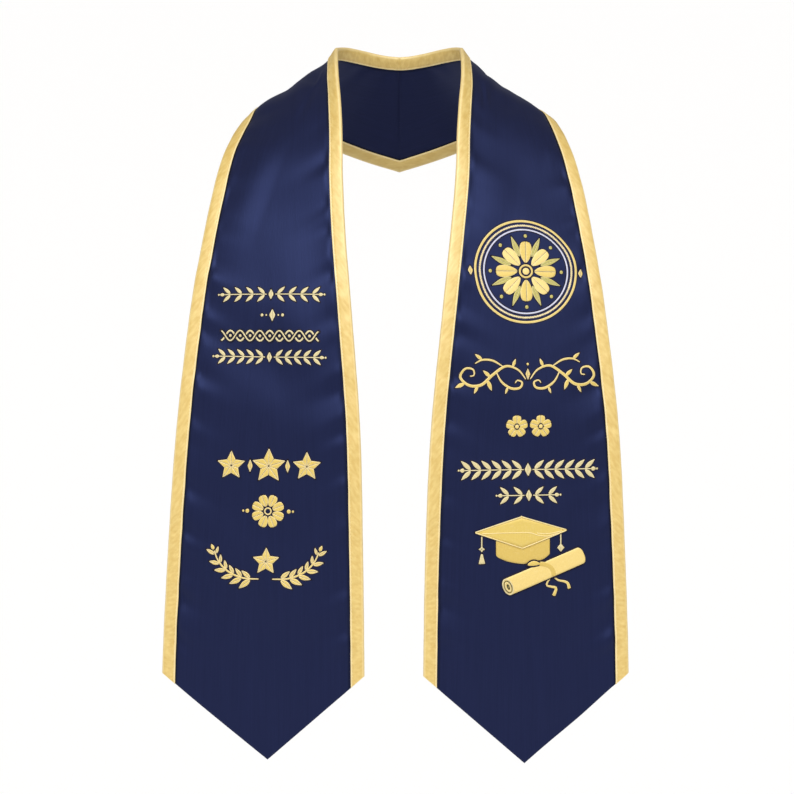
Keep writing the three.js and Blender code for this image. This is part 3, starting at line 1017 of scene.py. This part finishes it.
def star(thread, centre, radius, points=5):
    """Rays like kites, each folded along its middle."""
    columns = []
    shoulder = 0.4  # where a ray is widest
    for k in range(points):
        spine = ray(np.array(centre, float), 90 + 360 / points * k, 0, radius)
        t = np.linspace(0, 1, len(spine))
        widest = 2 * shoulder * radius * math.tan(math.pi / points)
        widths = widest * np.where(t < shoulder, t / shoulder, (1 - t) / (1 - shoulder))
        columns += halves(thread, spine, widths)
    return columns


def moved(columns, x=0, y=0, turn=0):
    """The columns turned round the middle, and then moved."""
    rotate = np.array([polar(turn), polar(turn + 90)])
    shift = np.array([x, y])
    return [
        k._replace(left=k.left @ rotate + shift, right=k.right @ rotate + shift) for k in columns
    ]


def over(columns, layer=1, dark=True):
    """The columns laid over others, with a dark run round them or without one."""
    return [k._replace(layer=layer, dark=dark) for k in columns]


def mirrored(columns):
    """The columns and their mirror image on the left."""
    flip = np.array([-1, 1])
    return columns + [k._replace(left=k.right * flip, right=k.left * flip) for k in columns]


# Motifs.


def garland(half_length, spread):
    """A level row of leaf pairs that grow outwards from a lozenge, with a dot at each end."""
    thread = "pale_gold"
    leaf_step, leaf_angle = 8.2, 42
    leaf_length, leaf_width = spread / 2 / 0.62, 0.26 * spread
    columns = column(thread, line((3, 0), (half_length - 5, 0)), 0.9)
    count = round((half_length - 8) / leaf_step)
    for k in range(count):
        x = mix(5, half_length - 11, k / (count - 1))
        for side in (1, -1):
            columns += leaf(thread, (x, 0.3 * side), leaf_angle * side, leaf_length, leaf_width)
    columns += leaf(thread, (half_length - 6, 0), 0, 4.5, leaf_width)
    columns += dot(thread, (half_length - 0.9, 0), 0.9)
    return mirrored(columns) + lozenge(thread, (0, 0), 0.42 * spread, 0.8 * spread)


def dotted_lozenge():
    columns = dot("pale_gold", (8.6, 0), 1.3) + dot("pale_gold", (5, 0), 0.8)
    return mirrored(columns) + lozenge("pale_gold", (0, 0), 5.4, 10.4)


def braid():
    """Two wavy strands that cross, with a dot in each eye."""
    half_length, eye, swing = 41, 8.2, 4.1
    x = np.arange(-half_length, half_length + 0.1, DRAWN_STEP / 2)
    columns = []
    for side, layer in ((1, 0), (-1, 1)):
        wave = np.stack([x, side * swing * np.sin(np.pi * (x / eye + 0.5))], axis=1)
        columns += over(column("pale_gold", evenly(wave), 1.5), layer)
    for k in range(-4, 5):
        columns += dot("pale_gold", (k * eye, 0), 1.25)
    return columns


def star_row():
    columns = star("gold", (31, 0), 12.2) + lozenge("gold", (15.4, 0), 4.4, 11)
    return mirrored(columns) + star("gold", (0, 0), 14.5)


def rosette():
    """An eight-petalled flower between two pairs of beads."""
    columns = []
    for k in range(8):
        columns += petal("gold", 22.5 + 45 * k, 3.6, 14, 7.4)
    columns += ring("gold", 2.6, 1.3)
    return columns + mirrored(dot("gold", (17, 0), 1.7) + dot("gold", (20.4, 0), 1.0))


def laurel_spray():
    """Two leafy sprigs that rise to both sides of a star."""
    stem = through((5, -12.5), (18, -12), (30, -7.5), (38.5, 0.5), (43, 10))
    columns = column("gold", stem, swelling(stem, 0.9, 1.7))
    way = np.gradient(stem, axis=0)
    heading = np.degrees(np.arctan2(way[:, 1], way[:, 0]))
    places = np.linspace(6, len(stem) - 4, 6).astype(int)
    for i, k in enumerate(places):
        length = mix(12.5, 8.5, i / (len(places) - 1))
        for side, share in ((1, 0.8), (-1, 1)):
            base = stem[k] + polar(heading[k] + 90 * side, 0.5)
            size = length * share
            columns += leaf("gold", base, heading[k] + 38 * side, size, size * 0.38, split=True)
    columns += leaf("gold", stem[-1], heading[-1], 5.5, 3)
    return mirrored(columns) + star("gold", (0, 1.5), 11.5)


def medallion():
    """A round medallion: an eight-petalled flower inside a silver and a gold ring. The rope
    between the two rings is a row of single stitches."""
    columns = ring("gold", 41.5, 2.0) + ring("silver", 34.4, 1.4)
    for k in range(8):
        turn = 45 * k
        columns += petal("cream" if k % 2 else "gold", turn, 6.5, 25, 10.2)
        between_petals = turn + 22.5
        base = polar(between_petals, 12.5)
        columns += leaf("olive", base, between_petals, 18.5, 4.6, split=True)
        columns += dot("olive", polar(turn, 29.2), 1.5)
    columns += ring("old_gold", 5, 1.7) + dot("cream", (0, 0), 2.9)
    return columns + mirrored(lozenge("gold", (45.6, 0), 4.6, 8.4))


def vine_scroll():
    """A flourish of thin and thick strokes with a few leaves, the same to both sides."""
    stem = [(1.5, -3), (8, 5), (18, 8), (28.5, 1.5), (38, -6.5), (48, -6.6), (54.5, 0)]
    curl = [(51, 6.6), (44.8, 6), (43.8, 1.4), (47.6, 0.6)]
    upper = [(20, 7.6), (28.5, 12.6), (37, 13.4), (43.5, 10.4)]
    lower = [(26, 3.6), (21.5, -4.4), (14, -9.6), (6.8, -9.4), (4.8, -5.2), (8.6, -3.4), (10.8, -6)]
    columns = []
    for points, thin, thick in ((stem + curl, 0.9, 2.5), (upper, 0.8, 1.8), (lower, 0.8, 2.1)):
        stroke = through(*points)
        columns += column("gold", stroke, swelling(stroke, thin, thick))
    for base, angle, length in (
        ((37, 13.4), 38, 8),
        ((12.5, 7.2), 112, 7.5),
        ((33, -2.8), -112, 9.5),
        ((40.5, -7.2), -62, 7.5),
        ((51, -5), -24, 9.5),
        ((30.5, -0.5), 42, 8.5),
        ((16.5, -8.6), -70, 6.2),
    ):
        columns += leaf("gold", base, angle, length, length * 0.36)
    return mirrored(columns) + lozenge("gold", (0, 1.5), 4, 10) + dot("gold", (0, 9.5), 1.1)


def blossoms():
    """Two small flowers side by side."""
    one = over(dot("cream", (0, 0), 1.9))
    for k in range(5):
        one = one + petal("gold", 90 + 72 * k, 0.8, 9.2, 7.2)
    return moved(one, x=-9.6) + moved(one, x=9.6)


def cap():
    """A square academic cap seen from in front: its board over its crown, two cords on the
    board, a tassel that hangs on the left, and a lozenge on the right."""
    left, top, right, bottom = (-45.4, 21), (-7.6, 33.4), (29.4, 22.2), (-7, 8)
    rim = [(-28.2, 2.4), (-26, 0.2), (-18, -3), (-7.2, -4.8), (3, -4), (11, -0.8), (15.6, 3)]
    columns = between("old_gold", through(*rim), [(-28.2, 14.6), (-7, 8.4), (15.6, 16.2)])
    columns += over(between("gold", [left, bottom, right], [left, top, right]))
    for a, b in ((left, bottom), (bottom, right), (left, top), (top, right)):
        columns += over(column("cream", line(a, b), 1.1), 2, dark=False)
    for corner in (top, bottom):
        columns += over(dot("cream", corner, 0.8), 2, dark=False)
    for cord in (
        [(-40.3, 20), (-20, 20.6), (-2, 20.7), (5.4, 18.6), (12.9, 17.6), (18.3, 18.8), (23, 20.4)],
        [(4, 20.4), (10, 19.7), (15.6, 19.8), (26, 21.6)],
    ):
        columns += over(column("cream", through(*cord), 1.0), 2, dark=False)
    for x, high, knot in ((-39.6, 18.4, 7.4), (24.4, 19.4, 8)):
        columns += column("pale_gold", line((x, high), (x, knot)), 1.1)
    columns += star("pale_gold", (-39.6, 7.4), 2.7, points=4)
    columns += lozenge("pale_gold", (24.4, 8), 6, 7.2)
    fringe = line((-39.6, 4), (-39.6, -4.8))
    columns += column("pale_gold", fringe, mix(1.2, 5.8, np.linspace(0, 1, len(fringe))))
    return columns


def ellipse(thread, centre, wide, high, width):
    angles = np.linspace(0, 2 * np.pi, round(1.5 * (wide + high)) + 12, endpoint=False)
    path = np.stack([wide * np.cos(angles), high * np.sin(angles)], axis=1) + centre
    return column(thread, path, width, closed=True)


def diploma():
    """A rolled sheet lying on the slant, tied with a band and a small bow."""
    radius, length, face, back = 7.3, 63.7, 4.4, 3.6
    turns = np.linspace(0, np.pi / 2, 8)
    start = np.stack([-face * np.cos(turns), radius * np.sin(turns)], axis=1)
    end = np.stack([length + back * np.sin(turns), radius * np.cos(turns)], axis=1)
    upper = np.vstack([start, end])
    columns = over(between("cream", upper * [1, -1], upper))
    for thread, centre, wide, high, width in (
        ("pale_gold", (0, 0), face - 0.7, radius - 0.8, 1.2),
        ("moss", (0, 0), 2.8, 5.0, 1.0),
        ("pale_gold", (0, 0), 1.8, 3.7, 0.9),
        ("moss", (0.1, -0.1), 0.6, 2.1, 1.3),
    ):
        columns += over(ellipse(thread, centre, wide, high, width), 2, dark=False)
    band = through((29.5, 7.4), (34, 5.2), (37.4, 1.7), (38.4, -3), (36.6, -7.1))
    columns += over(column("old_gold", band, 4.6), 1.5)
    knot = through((20.5, 10.4), (26.5, 9.4), (31.5, 6.6))
    columns += over(column("gold", knot, swelling(knot, 0.3, 4.8)), 2)
    for path in (
        [(35.4, -6.4), (31.2, -9), (29.4, -11.4), (32.2, -13.8), (35.4, -16.6), (31, -21.6)],
        [(36.8, -6), (39.4, -11), (43.8, -14.2), (45.8, -16.8), (45.3, -21.6)],
    ):
        tail = through(*path)
        widths = mix(1.5, 3.0, np.linspace(0, 1, len(tail)) ** 2)
        columns += column("gold", tail, widths)
    return moved(columns, x=-18.7, y=-23, turn=22.4)


# Each motif's place: the length along the band and the share across it of its middle.
MOTIFS = {
    "left": (
        # The four upper motifs here lie where the cloth's highlight is brightest. Their pale_gold
        # thread is paler partly as painted highlight.
        ("upper_garland", 378.6, 0.492, garland(44.5, 11)),
        ("dotted_lozenge", 361.9, 0.48, dotted_lozenge()),
        ("braid", 345.3, 0.495, braid()),
        ("lower_garland", 328.4, 0.497, garland(47, 11)),
        ("star_row", 241.3, 0.487, star_row()),
        ("rosette", 205.1, 0.487, rosette()),
        ("laurel_spray", 163.1, 0.491, laurel_spray()),
    ),
    "right": (
        ("medallion", 397.5, 0.51, medallion()),
        ("vine_scroll", 313, 0.511, vine_scroll()),
        ("blossoms", 272.9, 0.515, blossoms()),
        ("long_garland", 238.3, 0.511, garland(57.5, 14)),
        ("short_garland", 217.8, 0.513, garland(27, 12.5)),
        ("cap", 167.4, 0.523, cap()),
        ("diploma", 167.4, 0.523, diploma()),
    ),
}


def domed(one):
    """Rings of points over a column: x and y on the flat, the height, and the thread's own
    millimetres along, across and in from the edge."""
    middle, reach = (one.left + one.right) / 2, (one.right - one.left) / 2
    half = np.linalg.norm(reach, axis=1)[:, None]
    flat = middle[:, None] + reach[:, None] * DOME[None, :, None]
    flatness = 2 + half / FLAT_TOP
    dome = (1 - np.abs(DOME) ** flatness) ** (1 / flatness)
    top = COLUMN_HEIGHT + HEIGHT_BY_WIDTH * np.clip(half, 0, FULL_WIDTH)
    height = mix(SUNK, top + LAYER_HEIGHT * one.layer, dome)
    lengths = lengths_along(middle)
    if not one.closed:
        to_end = np.minimum(lengths, lengths[-1] - lengths)[:, None]
        rounding = np.sqrt(1 - (1 - np.clip(to_end / COLUMN_TIP, 0.04, 1)) ** 2)
        height = mix(SUNK, height, rounding)
    along = np.broadcast_to(lengths[:, None], height.shape)
    thread = np.stack([along, half * DOME, half * (1 - np.abs(DOME))], axis=-1)
    return flat, height, thread


def outlined(one):
    """Rings of points over the dark run, painted shade that shows as a line round a column."""
    middle, reach = (one.left + one.right) / 2, (one.right - one.left) / 2
    half = np.linalg.norm(reach, axis=1)[:, None]
    across = np.where(half > LEAST_WIDTH, reach / half, -across_of(middle, one.closed))
    wide = half + OUTLINE
    if not one.closed:
        way = unit(np.gradient(middle, axis=0))
        middle = np.vstack([middle[0] - way[0] * OUTLINE, middle, middle[-1] + way[-1] * OUTLINE])
        across = np.vstack([across[:1], across, across[-1:]])
        wide = np.vstack([wide[:1] * OUTLINE_TIP, wide, wide[-1:] * OUTLINE_TIP])
    flat = middle[:, None] + (across * wide)[:, None] * OUTLINE_SHARES[None, :, None]
    top = OUTLINE_HEIGHT + LAYER_HEIGHT * one.layer
    height = np.broadcast_to(np.where(abs(OUTLINE_SHARES) < 1, top, SUNK), flat.shape[:2])
    return flat, height, np.dstack([flat, height])


def run_faces(rings, around, closed):
    """Faces of rings that arch over a column and run back flat under it, with its two ends."""
    faces = ring_quads(rings, around, closed)
    if not closed:
        last = (rings - 1) * around
        faces += [tuple(range(around)), tuple(range(last + around - 1, last - 1, -1))]
    return faces


def stitched_piece(name, band, along, share, rings, material):
    """One mesh of all the columns of a thread, laid on the cloth."""
    points, threads, faces = [], [], []
    count = 0
    for (flat, height, thread), closed in rings:
        laid = band.on_face(along, share, flat[..., 0], flat[..., 1], height)
        points.append(laid.reshape(-1, 3))
        threads.append(thread.reshape(-1, 3))
        for face in run_faces(*height.shape, closed):
            faces.append(tuple(count + i for i in face))
        count += height.size
    attributes = {"thread": np.vstack(threads)}
    return mesh_piece(name, np.vstack(points), faces, material, attributes, sharp=75)


def embroider(side, threads, dark):
    """All motifs of one band. Each is a piece for each thread, and one for its dark outline, which
    is painted shade.
    """
    band, pieces = BANDS[side], []
    for motif, along, share, columns in MOTIFS[side]:
        rings = [(outlined(one), one.closed) for one in columns if one.dark]
        name = f"{side}_{motif}"
        dark_run = stitched_piece(f"{name}_outline", band, along, share, rings, dark)
        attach(dark_run, "root")
        pieces.append(dark_run)
        for thread in sorted({one.thread for one in columns}):
            rings = [(domed(one), one.closed) for one in columns if one.thread == thread]
            material = threads[thread]
            piece = stitched_piece(f"{name}_{thread}", band, along, share, rings, material)
            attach(piece, "root")
            pieces.append(piece)
    return pieces


# Rows of single stitches.

EDGE_STITCH = {"Spacing": 2.7, "Length": 2.1, "Width": 0.5, "Height": 0.34, "Slant": 6}
ROPE_STITCH = {"Spacing": 1.5, "Length": 3.0, "Width": 1.2, "Height": 0.9, "Slant": 38}
ROPE_RADIUS = 37.8
ROPE_SEAT = 0.1  # height of the middle of the rope's stitches over the satin
ROW_STEP = 1.2  # spacing of the points that a row of stitches follows
ROW_MARGIN = 2.5  # from the ends of a ribbon to its first and last stitch
STITCH_SINK = 0.05  # how deep a stitch lies in its dent


def stitch_tree():
    """Stitches laid one after the other along each row, square to the cloth."""
    tree = bpy.data.node_groups.new("row_of_stitches", "GeometryNodeTree")
    tree.interface.new_socket("Rows", in_out="INPUT", socket_type="NodeSocketGeometry")
    for name in EDGE_STITCH:
        tree.interface.new_socket(name, in_out="INPUT", socket_type="NodeSocketFloat")
    tree.interface.new_socket("Thread", in_out="INPUT", socket_type="NodeSocketMaterial")
    tree.interface.new_socket("Stitches", in_out="OUTPUT", socket_type="NodeSocketGeometry")
    given = add(tree, "NodeGroupInput").outputs
    curve = add(tree, "GeometryNodeMeshToCurve", {"Mesh": given["Rows"]})
    places = add(
        tree,
        "GeometryNodeResampleCurve",
        {"Curve": curve.outputs[0], "Length": given["Spacing"]},
        mode="LENGTH",
    )
    tangent = add(tree, "GeometryNodeInputTangent")
    outward = add(
        tree, "GeometryNodeInputNamedAttribute", {"Name": "outward"}, data_type="FLOAT_VECTOR"
    )
    lengthwise = add(
        tree, "FunctionNodeAlignRotationToVector", {"Vector": tangent.outputs[0]}, axis="X"
    )
    upright = add(
        tree,
        "FunctionNodeAlignRotationToVector",
        {"Rotation": lengthwise.outputs[0], "Vector": outward.outputs[0]},
        axis="Z",
        pivot_axis="X",
    )
    angle = add(tree, "ShaderNodeCombineXYZ", {"Z": given["Slant"]})
    turn = add(tree, "FunctionNodeEulerToRotation", {0: angle.outputs[0]})
    slanted = add(
        tree,
        "FunctionNodeRotateRotation",
        {"Rotation": upright.outputs[0], "Rotate By": turn.outputs[0]},
        rotation_space="LOCAL",
    )
    size = add(
        tree,
        "ShaderNodeCombineXYZ",
        {"X": given["Length"], "Y": given["Width"], "Z": given["Height"]},
    )
    uneven = add(
        tree, "FunctionNodeRandomValue", {2: 0.92, 3: 1.08, "Seed": 7}, data_type="FLOAT"
    )
    scale = add(
        tree,
        "ShaderNodeVectorMath",
        {0: size.outputs[0], "Scale": uneven.outputs[1]},
        operation="SCALE",
    )
    stitch = add(tree, "GeometryNodeMeshUVSphere", {"Segments": 6, "Rings": 5, "Radius": 0.5})
    laid = add(
        tree,
        "GeometryNodeInstanceOnPoints",
        {
            "Points": places.outputs[0],
            "Instance": stitch.outputs[0],
            "Rotation": slanted.outputs[0],
            "Scale": scale.outputs[0],
        },
    )
    real = add(tree, "GeometryNodeRealizeInstances", {0: laid.outputs[0]})
    smooth = add(tree, "GeometryNodeSetShadeSmooth", {0: real.outputs[0]})
    shown = add(
        tree, "GeometryNodeSetMaterial", {0: smooth.outputs[0], "Material": given["Thread"]}
    )
    add(tree, "NodeGroupOutput", {0: shown.outputs[0]})
    return tree


def stitch_rows(name, tree, rows, size, thread):
    """A plain mesh of the stitches along rows. Each row is its points and the cloth's outward
    directions, in millimetres, and whether its ends meet."""
    points, outward, edges = [], [], []
    count = 0
    for row, out, closed in rows:
        n = len(row)
        points.append(row)
        outward.append(out)
        edges += [(count + i, count + (i + 1) % n) for i in range(n if closed else n - 1)]
        count += n
    mesh = bpy.data.meshes.new(f"{name}_rows")
    mesh.from_pydata((np.vstack(points) * MM).tolist(), edges, [])
    made = mesh.attributes.new("outward", "FLOAT_VECTOR", "POINT")
    made.data.foreach_set("vector", unit(np.vstack(outward)).astype(np.float32).ravel())
    source = bpy.data.objects.new(f"{name}_rows", mesh)
    bpy.context.scene.collection.objects.link(source)
    modifier = source.modifiers.new("stitches", "NODES")
    modifier.node_group = tree
    values = {k: math.radians(v) if k == "Slant" else v * MM for k, v in size.items()}
    values["Thread"] = thread
    for item in tree.interface.items_tree:
        if item.in_out == "INPUT" and item.name in values:
            modifier[item.identifier] = values[item.name]
    bpy.context.view_layer.update()
    seen = source.evaluated_get(bpy.context.evaluated_depsgraph_get())
    plain = bpy.data.meshes.new_from_object(seen)
    plain.name = name
    bpy.data.objects.remove(source)
    piece = bpy.data.objects.new(name, plain)
    bpy.context.scene.collection.objects.link(piece)
    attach(piece, "root")
    return piece


def ribbon_rows():
    """The seams that hold the ribbons down, on both faces of both bands."""
    distance = RIBBON_WIDTH + RIBBON_SPREAD - RIBBON_STITCH
    rows = []
    for band in BANDS.values():
        row = np.arange(ROW_MARGIN, band.length - ROW_MARGIN, ROW_STEP)
        for from_outer in (False, True):
            lift = ribbon_lift(band, row, distance, from_outer)
            seat = RIBBON_INSIDE + RIBBON_THICK - STITCH_DENT - STITCH_SINK + lift
            for face in (1, -1):
                foot = band.wall(row, distance, face * seat, from_outer)
                tip = band.wall(row, distance, face * (seat + 1), from_outer)
                rows.append((foot, tip - foot, False))
    return rows


def rope_row(band, along, share):
    """The rope's ring on a band's front face."""
    count = round(2 * np.pi * ROPE_RADIUS / ROW_STEP)
    angles = np.linspace(0, 2 * np.pi, count, endpoint=False)
    x, y = ROPE_RADIUS * np.cos(angles), ROPE_RADIUS * np.sin(angles)
    foot = band.on_face(along, share, x, y, np.full(count, ROPE_SEAT))
    tip = band.on_face(along, share, x, y, np.full(count, ROPE_SEAT + 1))
    return foot, tip - foot, True


# The stole.


def build_cloth():
    satin, ribbon = navy_satin(), gold_ribbon()
    threads = {name: embroidery_thread(name, *pair) for name, pair in THREADS.items()}
    # The dark run round each column of stitches is painted shade.
    dark = shade_outline_thread()
    tree = stitch_tree()
    for side, band in BANDS.items():
        panel = satin_panel(f"{side}_satin_panel", band, satin)
        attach(panel, "root")
        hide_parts(f"{side}_panel")
        trims = []
        for edge, from_outer in (("inner", False), ("outer", True)):
            trim = ribbon_trim(f"{side}_{edge}_ribbon", band, from_outer, ribbon)
            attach(trim, "root")
            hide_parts(f"{side}_{edge}_trim")
            trims.append(trim)
        trims += embroider(side, threads, dark)
        for motif, along, share, _ in MOTIFS[side]:
            if motif == "medallion":
                rope = [rope_row(band, along, share)]
                name = f"{side}_medallion_rope"
                trims.append(stitch_rows(name, tree, rope, ROPE_STITCH, threads["gold"]))
        band_area(band) * MM**2
    stitch_rows("ribbon_stitches", tree, ribbon_rows(), EDGE_STITCH, sewing_thread())


def band_area(band):
    """Flat area of the cut, less the corners under the hem, from its widths at many rows."""
    rows = np.linspace(0, band.length, 200)
    width = band.width(rows)
    corners = HEM_WIDTH * POINT_HEIGHT / 2
    return np.sum((width[1:] + width[:-1]) / 2 * np.diff(rows)) - corners


build_cloth()

# Camera, light and floor.

EYE_DISTANCE = 5000
EYE_RISE = 7.5  # degrees over the level
EYE_TARGET = (-2, -215, -207)  # the middle of the view
VIEW_WIDTH = 635  # what the picture takes in at that distance
SENSOR = 36
FLOOR_DEPTH = 1400  # height of the nape over the floor
FLOOR_SIZE = 60000
FLOOR_GRAIN = 10 / 3  # size of the floor's faint grain


def toward(azimuth, elevation):
    """Unit vector to a place that many degrees to the right of the front, and over level."""
    a, e = math.radians(azimuth), math.radians(elevation)
    return np.array([math.sin(a) * math.cos(e), -math.cos(a) * math.cos(e), math.sin(e)])


def aim(thing, place, target):
    thing.location = place
    way = Vector(target) - Vector(place)
    thing.rotation_euler = way.to_track_quat("-Z", "Y").to_euler()


def make_camera():
    camera = bpy.data.objects.new("camera", bpy.data.cameras.new("camera"))
    bpy.context.scene.collection.objects.link(camera)
    target = np.array(EYE_TARGET) * MM
    aim(camera, target + toward(0, EYE_RISE) * EYE_DISTANCE * MM, target)
    camera.data.sensor_width = SENSOR
    camera.data.lens = SENSOR * EYE_DISTANCE / VIEW_WIDTH
    camera.data.clip_end = 200  # in metres, past the floor's far edge
    bpy.context.scene.camera = camera


def make_floor():
    half = FLOOR_SIZE / 2
    corners = np.array([[-half, -half, 0], [half, -half, 0], [half, half, 0], [-half, half, 0]])
    material, surface = new_material("pale_matt_floor")
    place = add(material, "ShaderNodeTexCoord")
    grain = add(
        material,
        "ShaderNodeTexNoise",
        {"Vector": place.outputs["Object"], "Scale": 1 / (FLOOR_GRAIN * MM), "Detail": 2.0},
    )
    base = add(
        material,
        "ShaderNodeValToRGB",
        {"Fac": grain.outputs["Fac"]},
        shades=((0.3, "#f7f6f4"), (0.7, "#faf9f8")),
    )
    fill(
        surface,
        {"Base Color": base.outputs["Color"], "Roughness": 0.9, "Specular IOR Level": 0.1},
    )
    mesh = bpy.data.meshes.new("floor")
    mesh.from_pydata(((corners - [0, 0, FLOOR_DEPTH]) * MM).tolist(), [], [(0, 1, 2, 3)])
    mesh.materials.append(material)
    floor = bpy.data.objects.new("floor", mesh)
    bpy.context.scene.collection.objects.link(floor)


def make_world():
    world = bpy.data.worlds.new("studio")
    world.use_nodes = True
    fill(world.node_tree.nodes["Background"], {"Color": colour("#f6f7fa"), "Strength": 0.27})
    bpy.context.scene.world = world


def make_sun(name, azimuth, elevation, strength, spread):
    lamp = bpy.data.lights.new(name, "SUN")
    lamp.energy = strength
    lamp.angle = math.radians(spread)
    holder = bpy.data.objects.new(name, lamp)
    bpy.context.scene.collection.objects.link(holder)
    aim(holder, toward(azimuth, elevation), (0, 0, 0))


make_camera()
make_floor()
make_world()
make_sun("high_soft_light", -8, 48, 2.5, 40)
make_sun("left_soft_light", -62, 18, 0.5, 60)
make_sun("right_soft_light", 42, 40, 0.95, 50)
bpy.context.scene.view_settings.view_transform = "Standard"
